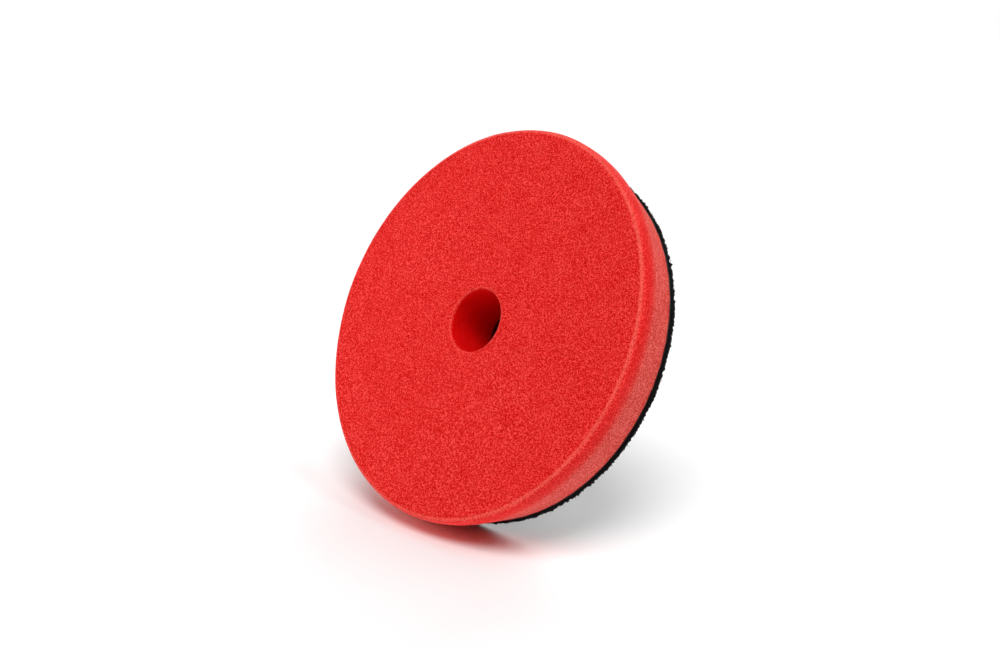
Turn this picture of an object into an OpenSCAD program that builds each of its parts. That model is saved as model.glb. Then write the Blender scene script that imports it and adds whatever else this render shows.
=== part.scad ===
// Round foam polishing pad for a dual action machine, in millimetres.
// Its axis lies along Y. The loop face that grips the machine's hook plate is
// the plane y = 0, and the working face looks towards -Y. The origin is on the
// axis, in the loop face.

/* [Foam] */
// Widest diameter of the foam
pad_d = 150; // [100:1:180]
// Rounding between the flat working face and the wall
edge_r = 2; // [0.5:0.5:4]
// How far the widest diameter reaches behind the working face, before the wall tapers
shoulder_t = 6; // [4.5:0.5:12]
// How much narrower the back of the foam is than its widest diameter
taper_d = 10; // [1:1:20]
// Thickness of the foam
foam_t = 23; // [15:0.5:40]
// Diameter of the centre hole, which goes through the foam and stops at the backing
hole_d = 24; // [10:0.5:40]

/* [Backing] */
// Thickness of the melted film that bonds the loop cloth to the foam
film_t = 0.2; // [0.1:0.05:0.5]
// Thickness of the loop cloth's knitted ground
ground_t = 0.5; // [0.3:0.05:1]
// Height of the loops raised on the ground
pile_t = 2.3; // [1:0.1:3]

/* [Hidden] */
$fn = 128;

pad_r = pad_d / 2;
back_r = (pad_d - taper_d) / 2;
hole_r = hole_d / 2;

// Heights in front of the loop face
ground_z = pile_t;
film_z = ground_z + ground_t;
foam_z = film_z + film_t;
face_z = foam_z + foam_t;
shoulder_z = face_z - shoulder_t;

// Stands a shape that was built along +Z on the loop face, so that it grows towards -Y
module on_loop_face() {
    rotate([90, 0, 0]) children();
}

// Flat disc: one layer of the backing
module backing_layer(from_z, thickness) {
    on_loop_face() translate([0, 0, from_z]) cylinder(h = thickness, r = back_r);
}

// Half section of the foam: tapered wall, straight shoulder, rounded edge, flat face
module foam_section() {
    polygon([
        [hole_r, foam_z],
        [back_r, foam_z],
        [pad_r, shoulder_z],
        [pad_r, face_z - edge_r],
        [pad_r - edge_r, face_z],
        [hole_r, face_z]
    ]);
    translate([pad_r - edge_r, face_z - edge_r]) circle(r = edge_r);
}

// The open-cell foam that does the polishing
module foam_disc() {
    color("#E22C26") on_loop_face() rotate_extrude() foam_section();
}

// The film that was melted between the foam and the cloth
module bond_film() {
    color("#2A2526") backing_layer(film_z, film_t);
}

// The knitted ground of the loop cloth
module loop_ground() {
    color("#151515") backing_layer(ground_z, ground_t);
}

// The raised loops of the cloth, as one closed layer
module loop_pile() {
    color("#0C0C0C") backing_layer(0, pile_t);
}

foam_disc();
bond_film();
loop_ground();
loop_pile();
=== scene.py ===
"""Looks of a round foam polishing pad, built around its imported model.

The pad's axis lies along Y. The working face looks towards -Y and the loop face is the plane y = 0.
The stage leans instead of the pad: its floor, lights and camera are turned about X, so that the pad
rests on its lower back edge. All lengths are in metres.
"""

import math
import random

import bpy
import numpy as np
from bpy.props import FloatProperty, FloatVectorProperty, IntProperty, PointerProperty
from mathutils import Matrix, Vector, noise


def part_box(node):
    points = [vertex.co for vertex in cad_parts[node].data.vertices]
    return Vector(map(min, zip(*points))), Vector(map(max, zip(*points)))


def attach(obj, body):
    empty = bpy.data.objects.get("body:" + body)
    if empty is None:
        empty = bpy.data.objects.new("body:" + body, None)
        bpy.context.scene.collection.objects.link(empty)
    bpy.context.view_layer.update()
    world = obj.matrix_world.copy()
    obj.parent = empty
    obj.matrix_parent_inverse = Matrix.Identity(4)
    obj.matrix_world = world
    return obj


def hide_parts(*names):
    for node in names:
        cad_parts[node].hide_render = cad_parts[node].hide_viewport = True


bl_info = {
    "name": "Foam polishing pad",
    "version": (1, 0, 0),
    "blender": (4, 5, 0),
    "location": "3D View > Sidebar > Polishing pad",
    "description": "Builds the foam, the loop backing and the stage of a polishing pad",
    "category": "Object",
}

MM = 0.001

# Starts of the random draws
LOOP_SEED = 7
FIBRE_SEED = 11

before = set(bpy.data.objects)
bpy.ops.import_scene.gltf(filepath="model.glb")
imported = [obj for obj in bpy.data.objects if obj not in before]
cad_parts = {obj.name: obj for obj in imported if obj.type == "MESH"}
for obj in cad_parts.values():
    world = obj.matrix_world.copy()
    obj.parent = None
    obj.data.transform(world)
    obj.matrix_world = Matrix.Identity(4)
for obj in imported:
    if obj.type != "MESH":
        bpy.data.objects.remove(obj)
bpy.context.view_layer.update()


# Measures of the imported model

def rings_of(node):
    """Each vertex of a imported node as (radius, y)."""
    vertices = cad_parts[node].data.vertices
    return [(math.hypot(v.co.x, v.co.z), v.co.y) for v in vertices]


FOAM_LOW, FOAM_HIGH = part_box("foam_disc")
FACE_Y = FOAM_LOW.y
FOAM_BACK_Y = FOAM_HIGH.y
PAD_R = max(radius for radius, y in rings_of("foam_disc"))
FACE_R = max(radius for radius, y in rings_of("foam_disc") if y < FACE_Y + 0.01 * MM)
HOLE_R = min(radius for radius, y in rings_of("foam_disc"))
SHOULDER_Y = max(y for radius, y in rings_of("foam_disc") if radius > PAD_R - 0.01 * MM)
BACK_R = max(radius for radius, y in rings_of("loop_ground"))
GROUND_LOW_Y, GROUND_HIGH_Y = (corner.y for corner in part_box("loop_ground"))
FILM_LOW_Y, FILM_HIGH_Y = (corner.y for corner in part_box("bond_film"))
PILE_HIGH_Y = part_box("loop_pile")[1].y

# Share of the pile's height that is matted
MAT_SHARE = 0.75
MAT_HIGH_Y = GROUND_HIGH_Y + MAT_SHARE * (PILE_HIGH_Y - GROUND_HIGH_Y)


# Shader expressions

class Value:
    """A node's output in an expression: arithmetic on it adds Math nodes."""

    def __init__(self, nodes, socket):
        self.nodes = nodes
        self.socket = socket

    def math(self, operation, *operands):
        return self.nodes.node("ShaderNodeMath", {"operation": operation}, dict(enumerate(operands)))

    def __add__(self, other):
        return self.math("ADD", self, other)

    def __sub__(self, other):
        return self.math("SUBTRACT", self, other)

    def __rsub__(self, other):
        return self.math("SUBTRACT", other, self)

    def __mul__(self, other):
        return self.math("MULTIPLY", self, other)

    def __pow__(self, other):
        return self.math("POWER", self, other)

    __radd__ = __add__
    __rmul__ = __mul__


class Nodes:
    """A node tree, whose nodes are added by node() and by expressions on what it returns."""

    def __init__(self, owner):
        owner.use_nodes = True
        self.tree = owner.node_tree

    def node(self, kind, settings=None, inputs=None, output=0):
        """Adds a node, sets its settings, then the values or links of its sockets."""
        made = self.tree.nodes.new(kind)
        for name, value in (settings or {}).items():
            setattr(made, name, value)
        for name, value in (inputs or {}).items():
            self.feed(made.inputs[name], value)
        return Value(self, made.outputs[output])

    def feed(self, socket, value):
        """Links a socket to an expression, or sets it to a plain value."""
        if isinstance(value, Value):
            self.tree.links.new(value.socket, socket)
        else:
            socket.default_value = value


class Finish(Nodes):
    """A material, with the nodes that the pad's surfaces are made from."""

    def __init__(self, name):
        self.material = bpy.data.materials.new(name)
        super().__init__(self.material)
        self.shader = self.tree.nodes["Principled BSDF"]

    def set(self, **sockets):
        """Sets the shader's sockets by their names, with underscores for spaces."""
        for name, value in sockets.items():
            self.feed(self.shader.inputs[name.replace("_", " ")], value)

    def place(self):
        """The coordinates of the surface in the pad's own frame."""
        return self.node("ShaderNodeTexCoord", output="Object")

    def axes(self, place):
        """x, y and z of a place."""
        split = self.node("ShaderNodeSeparateXYZ", inputs={"Vector": place}, output="X")
        outputs = split.socket.node.outputs
        return [Value(self, outputs[axis]) for axis in "XYZ"]

    def noise(self, place, size, detail=2.0, roughness=0.5):
        """Soft noise from 0 to 1, whose blotches are about size across."""
        return self.node(
            "ShaderNodeTexNoise",
            inputs={"Vector": place, "Scale": 1 / size, "Detail": detail, "Roughness": roughness},
            output="Fac",
        )

    def cells(self, place, size):
        """Distance from the middle of the nearest cell, in cell sizes."""
        return self.node(
            "ShaderNodeTexVoronoi", inputs={"Vector": place, "Scale": 1 / size}, output="Distance"
        )

    def ease(self, value, low, high):
        """0 below low, 1 above high, and a smooth step between them."""
        return self.node(
            "ShaderNodeMapRange",
            {"interpolation_type": "SMOOTHSTEP"},
            {"Value": value, "From Min": low, "From Max": high},
            output="Result",
        )

    def mix(self, share, first, second):
        """A colour that goes from the first to the second as share goes from 0 to 1."""
        return self.node(
            "ShaderNodeMix", {"data_type": "RGBA"}, {0: share, 6: rgba(first), 7: rgba(second)}, output=2
        )

    def bump(self, height, distance, strength):
        """A normal that leans with the height, which is in shares of distance."""
        inputs = {"Height": height, "Distance": distance, "Strength": strength}
        return self.node("ShaderNodeBump", inputs=inputs, output="Normal")


def rgba(colour):
    """A colour with its alpha, or an expression as it is."""
    return colour if isinstance(colour, Value) else (*colour[:3], 1.0)


# Mesh building

def piece(name, vertices, faces, finish, node=None, smooth=True):
    """A mesh object with its material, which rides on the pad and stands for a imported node."""
    mesh = bpy.data.meshes.new(name)
    mesh.from_pydata(vertices, [], faces)
    mesh.polygons.foreach_set("use_smooth", [smooth] * len(mesh.polygons))
    mesh.materials.append(finish.material)
    mesh.update()
    made = bpy.data.objects.new(name, mesh)
    bpy.context.scene.collection.objects.link(made)
    if node:
        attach(made, "root")
        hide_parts(node)
    return made


def rounded_outline(corners):
    """Points around a closed section as (radius, y, step).

    A corner is (radius, y, rounding, step), and step is the spacing from there to the next corner.
    """
    places = [Vector(corner[:2]) for corner in corners]
    count = len(corners)
    arcs = []
    for i, (corner, (_, _, rounding, step)) in enumerate(zip(places, corners)):
        if not rounding:
            arcs.append([corner])
            continue
        before = (places[i - 1] - corner).normalized()
        after = (places[(i + 1) % count] - corner).normalized()
        half = before.angle(after) / 2
        start = corner + before * rounding / math.tan(half)
        centre = corner + (before + after).normalized() * rounding / math.sin(half)
        turn = math.pi - 2 * half
        if before.cross(after) > 0:
            turn = -turn
        parts = max(1, round(abs(turn) * rounding / step))
        turns = [Matrix.Rotation(turn * k / parts, 2) for k in range(parts + 1)]
        arcs.append([centre + part_turn @ (start - centre) for part_turn in turns])
    outline = []
    for i, arc in enumerate(arcs):
        step = corners[i][3]
        outline += [(*point, step) for point in arc]
        reach = arcs[(i + 1) % count][0] - arc[-1]
        parts = max(1, round(reach.length / step))
        outline += [(*(arc[-1] + reach * k / parts), step) for k in range(1, parts)]
    return outline


def spin(outline):
    """Vertices, their outward normals and triangles of a section turned about Y.

    The section is closed, and its points on the axis become the middles of discs.
    """
    points = np.array([(radius, y) for radius, y, step in outline])
    along = np.roll(points, -1, 0) - np.roll(points, 1, 0)
    along /= np.linalg.norm(along, axis=1)[:, None]
    counts = [max(12, round(math.tau * radius / step)) if radius else 1 for radius, y, step in outline]
    starts = np.concatenate([[0], np.cumsum(counts)])
    vertices, normals, triangles = [], [], []
    for k, ((radius, y), (out, up), count) in enumerate(zip(points, along, counts)):
        angles = (np.arange(count) + 0.5 * (k % 2)) * math.tau / count
        cos, sin = np.cos(angles), np.sin(angles)
        if count == 1:
            out, up = math.copysign(1, out), 0
        vertices.append(np.stack([radius * cos, np.full(count, y), radius * sin], 1))
        normals.append(np.stack([up * cos, np.full(count, -out), up * sin], 1))
        other = (k + 1) % len(counts)
        triangles += stitch(starts[k], count, 0.5 * (k % 2), starts[other], counts[other], 0.5 * (other % 2))
    return np.concatenate(vertices), np.concatenate(normals), triangles


def stitch(start, count, shift, other_start, other_count, other_shift):
    """Triangles between two rings of evenly spaced vertices, always closing the shorter gap.

    A ring of one vertex is a middle, from which triangles fan out.
    """
    triangles = []
    i = int(count == 1)
    j = int(other_count == 1)
    while i < count or j < other_count:
        here = start + i % count
        there = other_start + j % other_count
        if j == other_count or (i < count and (i + 1 + shift) * other_count <= (j + 1 + other_shift) * count):
            triangles.append((here, there, start + (i + 1) % count))
            i += 1
        else:
            triangles.append((here, there, other_start + (j + 1) % other_count))
            j += 1
    return triangles


def waviness(vertices, size):
    """Soft noise from -1 to 1 at each vertex, whose waves are about size across."""
    return np.array([noise.noise(Vector(v) / size) for v in vertices])


def tubes(paths, across, radii, sides):
    """Closed thin tubes along many paths of equally many points: vertices and faces.

    across is a direction for each path that its bends are square to.
    """
    count, length, _ = paths.shape
    along = np.gradient(paths, axis=1)
    along /= np.linalg.norm(along, axis=2)[..., None] + 1e-12
    aside = np.broadcast_to(across[:, None, :], paths.shape)
    aside = aside - (aside * along).sum(2)[..., None] * along
    aside /= np.linalg.norm(aside, axis=2)[..., None] + 1e-12
    outward = np.cross(along, aside)
    angles = np.arange(sides) * math.tau / sides
    ring = (
        np.cos(angles)[None, None, :, None] * aside[:, :, None, :]
        + np.sin(angles)[None, None, :, None] * outward[:, :, None, :]
    )
    vertices = paths[:, :, None, :] + ring * np.asarray(radii)[..., None, None]
    per_tube = length * sides
    quads = [
        (k * sides + s, k * sides + (s + 1) % sides, (k + 1) * sides + (s + 1) % sides, (k + 1) * sides + s)
        for k in range(length - 1)
        for s in range(sides)
    ]
    first = np.arange(count)[:, None, None] * per_tube
    walls = (first + np.array(quads)).reshape(-1, 4)
    ends = np.array([list(range(sides))[::-1], list(range(per_tube - sides, per_tube))])
    caps = (first + ends).reshape(-1, sides)
    return vertices.reshape(-1, 3), walls.tolist() + caps.tolist()


# Settings

class FoamSettings(bpy.types.PropertyGroup):
    """Sizes and colours of the foam."""

    grain: FloatProperty(
        name="Grain",
        description="Spacing of the foam's mesh",
        default=0.58 * MM,
        unit="LENGTH",
    )
    hidden_grain: FloatProperty(
        name="Hidden grain",
        description="Mesh spacing on the bonded back",
        default=8 * MM,
        unit="LENGTH",
    )
    rim_rounding: FloatProperty(
        name="Rim rounding",
        description="Rounding of the hole's rim",
        default=0.5 * MM,
        unit="LENGTH",
    )
    knee_rounding: FloatProperty(
        name="Knee rounding",
        description="Rounding between shoulder and taper",
        default=16 * MM,
        unit="LENGTH",
    )
    pore: FloatProperty(name="Pore", description="Size of the pores", default=0.56 * MM, unit="LENGTH")
    mottle: FloatProperty(
        name="Mottle",
        description="Size of the tone's blotches",
        default=9 * MM,
        unit="LENGTH",
    )
    wave: FloatProperty(
        name="Wave",
        description="Size of the face's soft waves",
        default=38 * MM,
        unit="LENGTH",
    )
    relief: FloatProperty(name="Relief", description="Depth of the pores", default=0.16 * MM, unit="LENGTH")
    sag: FloatProperty(
        name="Sag",
        description="Depth of the face's soft unevenness",
        default=0.35 * MM,
        unit="LENGTH",
    )
    strut_colour: FloatVectorProperty(
        name="Struts",
        description="Colour of the foam's struts",
        subtype="COLOR",
        default=(0.90, 0.015, 0.013),
    )
    # Painted highlight: the highest struts are lighter and paler, as if light caught their tops.
    tip_highlight_colour: FloatVectorProperty(
        name="Strut tips",
        description="Colour of the highest struts",
        subtype="COLOR",
        default=(0.97, 0.098, 0.090),
    )
    # Painted shade: the pores between the struts are darker and deeper red.
    shaded_pore_colour: FloatVectorProperty(
        name="Pores",
        description="Colour in the pores",
        subtype="COLOR",
        default=(0.56, 0.0, 0.0),
    )
    # Painted shade: the straight shoulder behind the face edge is darker and deeper red, as if in shade.
    shoulder_shade_colour: FloatVectorProperty(
        name="Wall",
        description="Colour of the straight shoulder of the wall",
        subtype="COLOR",
        default=(0.62, 0.001, 0.001),
    )
    # Painted highlight: a light line along the face's outer edge and the hole's rim, where the edges catch
    # the light.
    edge_highlight_colour: FloatVectorProperty(
        name="Cut edge",
        description="Colour of the freshly cut edges",
        subtype="COLOR",
        default=(0.95, 0.15, 0.11),
    )
    # Painted sheen: the tapered wall's struts are paler and pinker than the face's, as if a whitish sheen lay
    # on them.
    taper_sheen_colour: FloatVectorProperty(
        name="Taper struts",
        description="Colour of the tapered wall's struts",
        subtype="COLOR",
        default=(0.80, 0.045, 0.030),
    )
    # Painted sheen on the tapered wall's highest struts, paler still.
    taper_tip_sheen_colour: FloatVectorProperty(
        name="Taper tips",
        description="Colour of the tapered wall's highest struts",
        subtype="COLOR",
        default=(0.90, 0.19, 0.155),
    )
    # Painted shade in the tapered wall's pores.
    taper_pore_shade_colour: FloatVectorProperty(
        name="Taper pores",
        description="Colour in the tapered wall's pores",
        subtype="COLOR",
        default=(0.46, 0.0, 0.0),
    )
    # Painted bounce light: the hole's wall is a purer, deeper red for the red light that bounces between its
    # walls.
    bore_bounce_colour: FloatVectorProperty(
        name="Hole",
        description="Colour of the wall of the centre hole",
        subtype="COLOR",
        default=(0.82, 0.0, 0.001),
    )


class ClothSettings(bpy.types.PropertyGroup):
    """Sizes and colours of the loop cloth and the film under it."""

    wale: FloatProperty(
        name="Wale",
        description="Spacing of the knitted ribs",
        default=1.1 * MM,
        unit="LENGTH",
    )
    grain: FloatProperty(
        name="Grain",
        description="Spacing of the ground's mesh",
        default=0.62 * MM,
        unit="LENGTH",
    )
    loop_spacing: FloatProperty(
        name="Loop spacing",
        description="Distance from loop to loop",
        default=1.3 * MM,
        unit="LENGTH",
    )
    tuft: FloatProperty(name="Tuft", description="Size of the pile's tufts", default=0.9 * MM, unit="LENGTH")
    swell: FloatProperty(name="Swell", description="Size of the rim's swells", default=5 * MM, unit="LENGTH")
    squeeze: FloatProperty(
        name="Squeeze",
        description="Length of the film's bulges along its edge",
        default=3 * MM,
        unit="LENGTH",
    )
    yarn: FloatProperty(name="Yarn", description="Radius of the loop yarn", default=0.12 * MM, unit="LENGTH")
    fibres: IntProperty(name="Fibres", description="Number of broken fibres along the rim", default=1500)
    fibre_reach: FloatProperty(
        name="Fibre reach",
        description="How far the longest broken fibres stand out",
        default=1.7 * MM,
        unit="LENGTH",
    )
    fibre_radius: FloatProperty(
        name="Fibre radius",
        description="Radius of a broken fibre at its root",
        default=0.09 * MM,
        unit="LENGTH",
    )
    relief: FloatProperty(name="Relief", description="Depth of the knit", default=0.12 * MM, unit="LENGTH")
    loop_colour: FloatVectorProperty(
        name="Loops",
        description="Colour of the raised loops",
        subtype="COLOR",
        default=(0.018, 0.018, 0.020),
    )
    yarn_colour: FloatVectorProperty(
        name="Yarn",
        description="Colour of the matted yarn",
        subtype="COLOR",
        default=(0.003, 0.003, 0.0035),
    )
    ground_colour: FloatVectorProperty(
        name="Ground",
        description="Colour of the knitted ground",
        subtype="COLOR",
        default=(0.003, 0.003, 0.0035),
    )
    film_colour: FloatVectorProperty(
        name="Film",
        description="Colour of the bonding film",
        subtype="COLOR",
        default=(0.012, 0.006, 0.006),
    )


class StageSettings(bpy.types.PropertyGroup):
    """Floor, lights and camera."""

    lean: FloatProperty(
        name="Lean",
        description="How far the stage is turned about X",
        default=math.radians(26.8),
        subtype="ANGLE",
    )
    azimuth: FloatProperty(
        name="Azimuth",
        description="Camera's angle round the pad",
        default=math.radians(46.3),
        subtype="ANGLE",
    )
    elevation: FloatProperty(
        name="Elevation",
        description="Camera's angle above the floor",
        default=math.radians(15),
        subtype="ANGLE",
    )
    distance: FloatProperty(
        name="Distance",
        description="From the camera to the working face",
        default=0.5188,
        unit="LENGTH",
    )
    aim: FloatVectorProperty(
        name="Aim",
        description="Where the camera points, to the right of and above the middle of the face",
        size=2,
        default=(9.2 * MM, -5.0 * MM),
        unit="LENGTH",
    )
    lens: FloatProperty(name="Lens", description="Focal length in millimetres", default=51.0)
    sky: FloatProperty(name="Sky", description="Strength of the even light from all round", default=0.05)
    key: FloatProperty(name="Key", description="Strength of the large light above the camera", default=2.0)
    fill: FloatProperty(
        name="Fill",
        description="Power of the near light on the left",
        default=0.5,
        subtype="POWER",
    )
    glow: FloatProperty(
        name="Glow",
        description="Power of the light from the floor under the pad",
        default=0.003,
        subtype="POWER",
    )
    back_right: FloatProperty(
        name="Back right",
        description="Strength of the light behind on the right",
        default=1.15,
    )
    back_left: FloatProperty(
        name="Back left",
        description="Strength of the light behind on the left",
        default=1.25,
    )


# Where each distant light stands round the pad, in degrees: from the front, above the floor, and its width
LIGHT_PLACES = {
    "key": (45, 62, 32),
    "back_right": (125, 50, 45),
    "back_left": (205, 36, 45),
}

# The side of the floor, and the side and place of the soft box on the left
FLOOR_SIZE = 6.0
FILL_SIZE = 0.25
FILL_PLACE = (-0.30, -0.32, 0.22)

# The strip under the pad: its length and width, its place forward of the axis and its height
GLOW_SIZE = (120 * MM, 14 * MM)
GLOW_Y = -54 * MM
GLOW_LIFT = 0.5 * MM


# Foam

def foam_finish(foam):
    """Fine open pores with painted shade in them, painted highlights on the strut tips and along the edges,
    painted shade on the shoulder, painted sheen on the taper and a purer red painted into the hole for the
    light that bounces inside it.
    """
    skin = Finish("red_foam")
    place = skin.place()
    x, y, z = skin.axes(place)
    radius = (x * x + z * z) ** 0.5
    behind_face = y - FACE_Y

    cell = skin.cells(place, foam.pore)
    fine = skin.noise(place, foam.pore / 2, detail=1.0)
    mottle = skin.noise(place, foam.mottle, detail=3.0)
    dip = skin.node("ShaderNodeAttribute", {"attribute_name": "pore_depth"}, output="Fac")
    # The cells are the foam's grain; their middles and the places where the mesh dips take the pore colour,
    # which is painted shade in the pores.
    height = cell + 0.9 * fine - 0.25 * dip + 0.15 * mottle
    strut = skin.ease(height, 0.5, 1.25)
    # Painted highlight on the highest struts.
    tip = skin.ease(height, 0.85, 1.3)

    # Painted highlight along the face's outer edge, and below it along the hole's rim.
    crest = skin.ease(radius, FACE_R - 0.1 * MM, FACE_R + 0.9 * MM)
    edge = crest * (1 - skin.ease(behind_face, 0.1 * MM, 1.1 * MM))
    near_hole = 1 - skin.ease(radius, HOLE_R + 0.1 * MM, HOLE_R + 1.0 * MM)
    rim = near_hole * (1 - skin.ease(behind_face, 0, 0.5 * MM))
    taper_start = SHOULDER_Y - FACE_Y - 2.5 * MM
    outside = skin.ease(radius, 0.5 * PAD_R, 0.6 * PAD_R)
    # Where the shoulder's painted shade goes.
    wall = skin.ease(behind_face, 0.8 * MM, 2.2 * MM) * outside
    # Where the taper's painted sheen goes, with a ragged start.
    taper = skin.ease(behind_face + 0.8 * MM * mottle, taper_start, taper_start + 6.5 * MM) * outside
    side = skin.ease(behind_face, 0.1 * MM, 1.2 * MM) * outside
    # Where the hole's painted bounce light goes.
    bore = skin.ease(behind_face, 0.3 * MM, 1.5 * MM) * (1 - outside)

    # The struts' own colour, with painted shade in the pores.
    colour = skin.mix(strut, foam.shaded_pore_colour, foam.strut_colour)
    # Painted shade on the shoulder, deepest in the pores.
    colour = skin.mix(wall * (0.7 - 0.4 * strut), colour, foam.shoulder_shade_colour)
    # Painted highlight along the face's edge, stronger on the struts, and along the hole's rim.
    colour = skin.mix(edge * (0.2 + 0.9 * strut) + 0.5 * rim, colour, foam.edge_highlight_colour)
    # Painted sheen on the taper: its own paler tones, with painted shade in its pores.
    taper_sheen_tone = skin.mix(strut, foam.taper_pore_shade_colour, foam.taper_sheen_colour)
    colour = skin.mix(0.9 * taper, colour, taper_sheen_tone)
    # Painted highlights on the strut tips: less on the shaded shoulder, more on the taper.
    tips = skin.mix(taper, foam.tip_highlight_colour, foam.taper_tip_sheen_colour)
    colour = skin.mix(tip * (0.7 - 0.4 * wall + 0.4 * taper), colour, tips)
    # Purer red painted into the hole for the light that bounces inside it.
    colour = skin.mix(0.9 * bore, colour, foam.bore_bounce_colour)
    skin.set(
        Base_Color=colour,
        Roughness=0.95 - 0.12 * strut,
        Normal=skin.bump(cell + 0.4 * fine, 0.35 * MM, strength=0.6),
        Specular_IOR_Level=0.03,
        Subsurface_Weight=0.4,
        Subsurface_Radius=(1.0, 0.12, 0.10),
        Subsurface_Scale=3 * MM,
        Coat_Weight=0.5 * side,
        Coat_Roughness=0.5,
        Coat_IOR=1.2,
    )
    return skin


def pore_depths(vertices, foam):
    """Share of the full pore depth at each vertex, from round dips of uneven size."""
    depths = []
    for vertex in vertices:
        place = Vector(vertex) / (1.25 * foam.pore)
        nearest = noise.voronoi(place)[0][0]
        depths.append(max(0.0, 1 - nearest / 0.62) * (0.75 + 0.5 * noise.noise(place * 0.37)))
    return np.array(depths)


def foam_outline(foam):
    """Closed section of the foam: face, rounded edge, shoulder, taper, bonded back and hole."""
    fine, coarse = foam.grain, foam.hidden_grain
    return rounded_outline([
        (HOLE_R, FACE_Y, foam.rim_rounding, fine),
        (PAD_R, FACE_Y, PAD_R - FACE_R, fine),
        (PAD_R, SHOULDER_Y, foam.knee_rounding, fine),
        (BACK_R, FOAM_BACK_Y, 0.3 * MM, coarse),
        (HOLE_R, FOAM_BACK_Y, 0.1 * MM, fine),
    ])


class PAD_OT_make_foam(bpy.types.Operator):
    """Builds the foam with its pores"""

    bl_idname = "pad.make_foam"
    bl_label = "Make foam"

    def execute(self, context):
        foam = context.scene.pad_foam
        vertices, normals, faces = spin(foam_outline(foam))
        bonded = np.clip((FOAM_BACK_Y - vertices[:, 1]) / (1 * MM), 0, 1)
        depths = pore_depths(vertices, foam) * bonded
        waves = waviness(vertices, foam.wave)
        inward = foam.relief * depths + foam.sag * np.clip(waves, 0, 1) * bonded
        made = piece(
            "foam_pad", vertices - normals * inward[:, None], faces, foam_finish(foam), "foam_disc"
        )
        attribute = made.data.attributes.new("pore_depth", "FLOAT", "POINT")
        attribute.data.foreach_set("value", depths.astype(np.float32))
        return {"FINISHED"}


# Backing

def disc_outline(low, high, rounding, fine, hidden):
    """Section of a backing disc from its middle, with a finely meshed face at y = high."""
    return rounded_outline([
        (0, low, 0, hidden),
        (BACK_R, low, 0.3 * rounding, fine),
        (BACK_R, high, rounding, fine),
        (0, high, 0, hidden),
    ])


def film_finish(cloth):
    """Smooth dark melted plastic, a little blotchy."""
    film = Finish("melted_film")
    place = film.place()
    blotch = film.noise(place, 2.5 * MM, detail=4.0)
    film.set(
        Base_Color=film.mix(blotch, cloth.film_colour, [2.2 * part for part in cloth.film_colour]),
        Roughness=0.3 + 0.3 * blotch,
        Normal=film.bump(blotch, 0.2 * MM, strength=0.4),
    )
    return film


class PAD_OT_make_film(bpy.types.Operator):
    """Builds the melted film, whose edge is squeezed out unevenly"""

    bl_idname = "pad.make_film"
    bl_label = "Make bonding film"

    def execute(self, context):
        cloth = context.scene.pad_cloth
        outline = disc_outline(FILM_LOW_Y, FILM_HIGH_Y, 0.08 * MM, 0.8 * MM, 0.8 * MM)
        vertices, normals, faces = spin(outline)
        edge = np.abs(normals[:, 0]) + np.abs(normals[:, 2])
        squeeze = 0.12 * MM + 0.2 * MM * waviness(vertices, cloth.squeeze)
        vertices = vertices + normals * (np.clip(edge, 0, 1) * squeeze)[:, None] * [1, 0, 1]
        piece("film_layer", vertices, faces, film_finish(cloth), "bond_film")
        return {"FINISHED"}


def yarn_finish(name, colour, wale, shine=0.1):
    """Black nylon yarn: dull, uneven in tone, with fine fibres along it."""
    yarn = Finish(name)
    place = yarn.place()
    fibre = yarn.noise(place, 0.12 * MM, detail=2.0)
    patch = yarn.noise(place, 6 * wale, detail=2.0)
    dark = [0.5 * part for part in colour]
    light = [2.2 * part for part in colour]
    yarn.set(
        Base_Color=yarn.mix(0.6 * fibre + 0.4 * patch, dark, light),
        Roughness=0.7 + 0.2 * fibre,
        Normal=yarn.bump(fibre, 0.05 * MM, strength=0.6),
        Specular_IOR_Level=shine,
    )
    return yarn


class PAD_OT_make_ground(bpy.types.Operator):
    """Builds the knitted ground of the loop cloth"""

    bl_idname = "pad.make_ground"
    bl_label = "Make cloth ground"

    def execute(self, context):
        cloth = context.scene.pad_cloth
        outline = disc_outline(GROUND_LOW_Y, GROUND_HIGH_Y, 0.15 * MM, cloth.grain, cloth.grain)
        vertices, normals, faces = spin(outline)
        ribs = np.sin(vertices[:, 0] * math.tau / cloth.wale) * 0.5 + 0.5
        stitches = np.sin(vertices[:, 2] * math.tau / (0.8 * cloth.wale) + math.pi * ribs) * 0.5 + 0.5
        upward = np.clip(normals[:, 1], 0, 1)
        vertices = vertices - normals * (cloth.relief * (ribs + stitches) / 2 * upward)[:, None]
        finish = yarn_finish("ground_knit", cloth.ground_colour, cloth.wale)
        made = piece("cloth_ground", vertices, faces, finish, "loop_ground")
        return {"FINISHED"}


class PAD_OT_make_mat(bpy.types.Operator):
    """Builds the matted lower part of the pile, with its ragged rim"""

    bl_idname = "pad.make_mat"
    bl_label = "Make pile mat"

    def execute(self, context):
        cloth = context.scene.pad_cloth
        outline = disc_outline(GROUND_HIGH_Y - 0.1 * MM, MAT_HIGH_Y, 0.35 * MM, cloth.grain, 8 * MM)
        vertices, normals, faces = spin(outline)
        tufts = waviness(vertices, cloth.tuft)
        swells = waviness(vertices, cloth.swell)
        sideways = np.clip(np.hypot(normals[:, 0], normals[:, 2]), 0, 1)
        upward = np.clip(normals[:, 1], 0, 1)
        ragged = sideways * (0.6 * MM + 0.7 * MM * tufts + 0.3 * MM * swells)
        lumps = upward * 0.3 * MM * (tufts - 0.3)
        vertices = vertices + normals * (ragged + lumps)[:, None]
        finish = yarn_finish("pile_mat", cloth.yarn_colour, cloth.wale)
        piece("loop_mat", vertices, faces, finish, "loop_pile")
        return {"FINISHED"}


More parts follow.
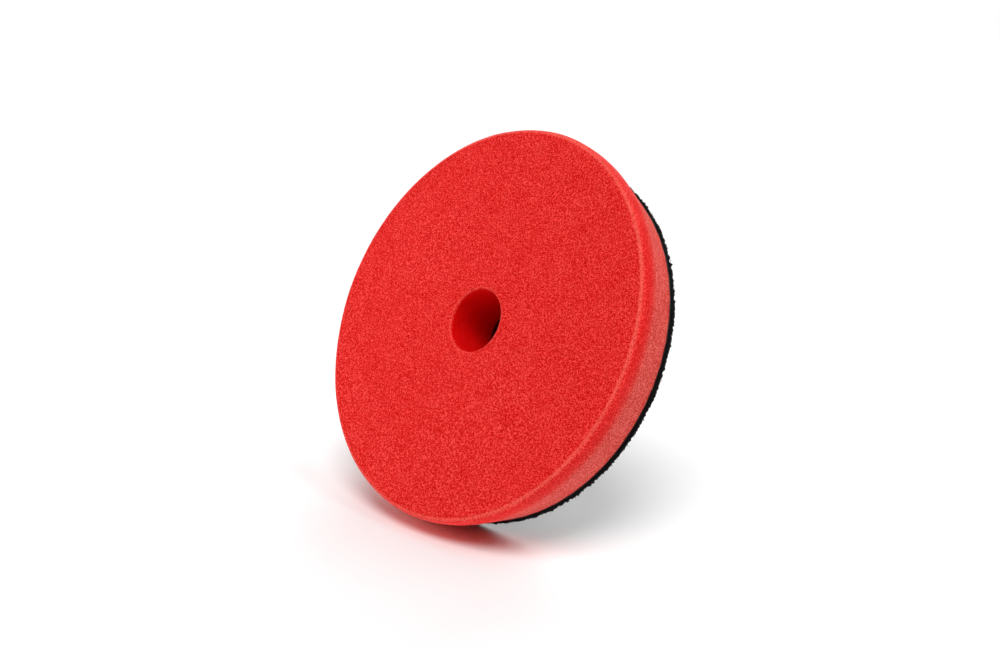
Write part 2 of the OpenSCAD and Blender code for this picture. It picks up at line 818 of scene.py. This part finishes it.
def loop_roots(cloth, draw):
    """Where the loops stand on the ground: a slightly shaken knitted grid over the disc."""
    roots = []
    step = cloth.loop_spacing
    rows = int(BACK_R / step) + 1
    for row in range(-rows, rows + 1):
        for column in range(-rows, rows + 1):
            x = (column + 0.5 * (row % 2) + draw.uniform(-0.28, 0.28)) * step
            z = (row + draw.uniform(-0.28, 0.28)) * step
            if math.hypot(x, z) < BACK_R - 0.3 * MM:
                roots.append((x, z))
    return np.array(roots)


def loop_paths(roots, draw):
    """Paths of the loops: arches that lean in their own directions, outwards near the rim."""
    count = len(roots)
    share = np.linspace(0, 1, 9)[None, :]
    radius = np.hypot(roots[:, 0], roots[:, 1])
    outward = roots / np.maximum(radius, MM)[:, None]
    turn = np.array([draw.uniform(0, math.tau) for _ in range(count)])
    width = np.array([draw.uniform(0.5, 1.0) for _ in range(count)]) * MM
    height = np.array([draw.uniform(0.75, 1.0) for _ in range(count)]) * (PILE_HIGH_Y - MAT_HIGH_Y + 0.3 * MM)
    lean_turn = np.array([draw.uniform(0, math.tau) for _ in range(count)])
    lean = np.array([draw.uniform(0.1, 1.1) for _ in range(count)]) * MM
    near_rim = np.clip(1 - (BACK_R - radius) / (1.5 * MM), 0, 1)
    lean_x = lean * np.cos(lean_turn) * (1 - near_rim) + near_rim * outward[:, 0] * 0.9 * MM
    lean_z = lean * np.sin(lean_turn) * (1 - near_rim) + near_rim * outward[:, 1] * 0.9 * MM
    rise = np.sin(math.pi * share) ** 0.75
    spread = -np.cos(math.pi * share) * (1 + 0.5 * np.sin(math.pi * share))
    x = roots[:, :1] + spread * (width * np.cos(turn))[:, None] / 2 + rise**2 * lean_x[:, None]
    z = roots[:, 1:] + spread * (width * np.sin(turn))[:, None] / 2 + rise**2 * lean_z[:, None]
    y = MAT_HIGH_Y - 0.4 * MM + rise * height[:, None]
    across = np.stack([-np.sin(turn), np.zeros(count), np.cos(turn)], 1)
    return np.stack([x, y, z], 2), across


LOOP_ZONES = ("inner", "middle", "outer")


class PAD_OT_make_loops(bpy.types.Operator):
    """Builds the raised loops, in three zones from the middle to the rim"""

    bl_idname = "pad.make_loops"
    bl_label = "Make loops"

    def execute(self, context):
        cloth = context.scene.pad_cloth
        draw = random.Random(LOOP_SEED)
        roots = loop_roots(cloth, draw)
        roots = roots[np.argsort(np.hypot(roots[:, 0], roots[:, 1]))]
        paths, across = loop_paths(roots, draw)
        finish = yarn_finish("loop_yarn", cloth.loop_colour, cloth.wale, shine=0.5)
        for zone, part in zip(LOOP_ZONES, np.array_split(np.arange(len(roots)), len(LOOP_ZONES))):
            radii = np.full(paths[part].shape[:2], cloth.yarn)
            vertices, faces = tubes(paths[part], across[part], radii, 3)
            piece(f"loops_{zone}", vertices, faces, finish, "loop_pile")
        return {"FINISHED"}


class PAD_OT_make_rim_fibres(bpy.types.Operator):
    """Builds the broken fibres that stand out along the cut rim of the cloth"""

    bl_idname = "pad.make_rim_fibres"
    bl_label = "Make rim fibres"

    def execute(self, context):
        cloth = context.scene.pad_cloth
        draw = random.Random(FIBRE_SEED)
        share = np.linspace(0, 1, 6)
        paths = []
        across = []
        for _ in range(cloth.fibres):
            angle = draw.uniform(0, math.tau)
            out = Vector((math.cos(angle), 0, math.sin(angle)))
            aside = Vector((-math.sin(angle), 0, math.cos(angle)))
            height = draw.uniform(GROUND_LOW_Y, PILE_HIGH_Y - 0.4 * MM)
            root = out * (BACK_R - 0.3 * MM) + Vector((0, height, 0))
            reach = draw.uniform(0.5, 1.0) ** 2 * cloth.fibre_reach
            swing = draw.uniform(-0.8, 0.8) * reach
            rise = draw.uniform(-0.5, 0.5) * reach
            bend = aside * swing + Vector((0, rise, 0))
            paths.append([root + out * reach * s + bend * s * s for s in share])
            across.append(aside)
        radii = np.broadcast_to(cloth.fibre_radius * (1 - 0.85 * share), (cloth.fibres, len(share)))
        vertices, faces = tubes(np.array(paths), np.array(across), radii, 3)
        finish = yarn_finish("rim_fibre", cloth.yarn_colour, cloth.wale)
        piece("rim_fibres", vertices, faces, finish, "loop_pile")
        return {"FINISHED"}


# Stage

class PAD_OT_make_stage(bpy.types.Operator):
    """Builds the white floor, the soft lights and the camera"""

    bl_idname = "pad.make_stage"
    bl_label = "Make stage"

    def execute(self, context):
        scene = context.scene
        settings = scene.pad_stage
        lean = Matrix.Rotation(settings.lean, 4, "X")
        floor_drop = BACK_R * math.cos(settings.lean)
        self.make_floor(lean, floor_drop)
        for name, (around, above, width) in LIGHT_PLACES.items():
            direction = lean.to_3x3() @ self.direction(math.radians(around), math.radians(above))
            strength = getattr(settings, name)
            self.make_distant_light(f"{name}_light", direction, math.radians(width), strength)
        self.make_fill(lean, settings.fill)
        self.make_glow(lean, floor_drop, settings.glow)
        self.make_sky(scene, settings)
        self.make_camera(scene, settings, lean)
        scene.view_settings.view_transform = "Standard"
        return {"FINISHED"}

    def make_floor(self, lean, drop):
        half = FLOOR_SIZE / 2
        white = Finish("white_floor")
        grain = white.noise(white.place(), 0.05)
        white.set(Base_Color=white.mix(grain, (0.93, 0.93, 0.93), (0.95, 0.95, 0.95)), Roughness=0.9)
        corners = [(-half, -half, -drop), (half, -half, -drop), (half, half, -drop), (-half, half, -drop)]
        corners = [lean @ Vector(corner) for corner in corners]
        floor = piece("floor", corners, [(0, 1, 2, 3)], white, smooth=False)

    def direction(self, around, above):
        """Unit vector from the pad to a place round it on the level stage."""
        level = math.cos(above)
        return Vector((math.sin(around) * level, -math.cos(around) * level, math.sin(above)))

    def make_distant_light(self, name, direction, width, strength):
        """A distant soft light, which is as even on the far floor as on the pad."""
        data = bpy.data.lights.new(name, "SUN")
        data.angle = width
        data.energy = strength
        self.aim_light(name, data, direction)

    def make_fill(self, lean, power):
        """A soft box close by on the left, from which the light fades across the face."""
        data = bpy.data.lights.new("fill_light", "AREA")
        data.size = FILL_SIZE
        data.energy = power
        place = lean.to_3x3() @ Vector(FILL_PLACE)
        self.aim_light("fill_light", data, place).location = place

    def make_glow(self, lean, drop, power):
        """Light that the white floor throws back up at the pad's lower edge, from a strip along it."""
        data = bpy.data.lights.new("glow_light", "AREA")
        data.shape = "RECTANGLE"
        data.size, data.size_y = GLOW_SIZE
        data.energy = power
        light = self.aim_light("glow_light", data, lean.to_3x3() @ Vector((0, 0, -1)))
        light.location = lean.to_3x3() @ Vector((0, GLOW_Y, GLOW_LIFT - drop))
        light.visible_camera = False

    def aim_light(self, name, data, direction):
        """A light that shines from a direction towards the pad."""
        light = bpy.data.objects.new(name, data)
        light.rotation_mode = "QUATERNION"
        light.rotation_quaternion = direction.to_track_quat("Z", "Y")
        bpy.context.scene.collection.objects.link(light)
        return light

    def make_sky(self, scene, settings):
        """A faint even light from all round, which the camera sees as plain white."""
        sky = bpy.data.worlds.new("white_sky")
        nodes = Nodes(sky)
        seen = nodes.node("ShaderNodeLightPath", output="Is Camera Ray")
        backdrop = nodes.tree.nodes["Background"]
        nodes.feed(backdrop.inputs["Color"], (1, 1, 1, 1))
        nodes.feed(backdrop.inputs["Strength"], settings.sky + (1 - settings.sky) * seen)
        scene.world = sky

    def make_camera(self, scene, settings, lean):
        right = Vector((math.cos(settings.azimuth), math.sin(settings.azimuth), 0))
        back = self.direction(settings.azimuth, settings.elevation)
        up = back.cross(right)
        data = bpy.data.cameras.new("camera")
        data.lens = settings.lens
        data.clip_start = 0.01
        camera = bpy.data.objects.new("camera", data)
        turn = Matrix((right, up, back)).transposed().to_4x4()
        offset = lean @ (right * settings.aim[0] + up * settings.aim[1] + back * settings.distance)
        camera.matrix_world = Matrix.Translation(Vector((0, FACE_Y, 0)) + offset) @ lean @ turn
        scene.collection.objects.link(camera)
        scene.camera = camera


class PAD_PT_panel(bpy.types.Panel):
    """Lists what builds the pad"""

    bl_label = "Polishing pad"
    bl_space_type = "VIEW_3D"
    bl_region_type = "UI"
    bl_category = "Polishing pad"

    def draw(self, context):
        for operator in OPERATORS:
            self.layout.operator(operator.bl_idname)


GROUPS = {"pad_foam": FoamSettings, "pad_cloth": ClothSettings, "pad_stage": StageSettings}
OPERATORS = (
    PAD_OT_make_stage,
    PAD_OT_make_foam,
    PAD_OT_make_film,
    PAD_OT_make_ground,
    PAD_OT_make_mat,
    PAD_OT_make_loops,
    PAD_OT_make_rim_fibres,
)


def register():
    for cls in (*GROUPS.values(), *OPERATORS, PAD_PT_panel):
        bpy.utils.register_class(cls)
    for name, group in GROUPS.items():
        setattr(bpy.types.Scene, name, PointerProperty(type=group))


def unregister():
    for name in GROUPS:
        delattr(bpy.types.Scene, name)
    for cls in reversed((*GROUPS.values(), *OPERATORS, PAD_PT_panel)):
        bpy.utils.unregister_class(cls)


def main():
    register()
    bpy.ops.pad.make_stage()
    bpy.ops.pad.make_foam()
    bpy.ops.pad.make_film()
    bpy.ops.pad.make_ground()
    bpy.ops.pad.make_mat()
    bpy.ops.pad.make_loops()
    bpy.ops.pad.make_rim_fibres()


if __name__ == "__main__":
    main()
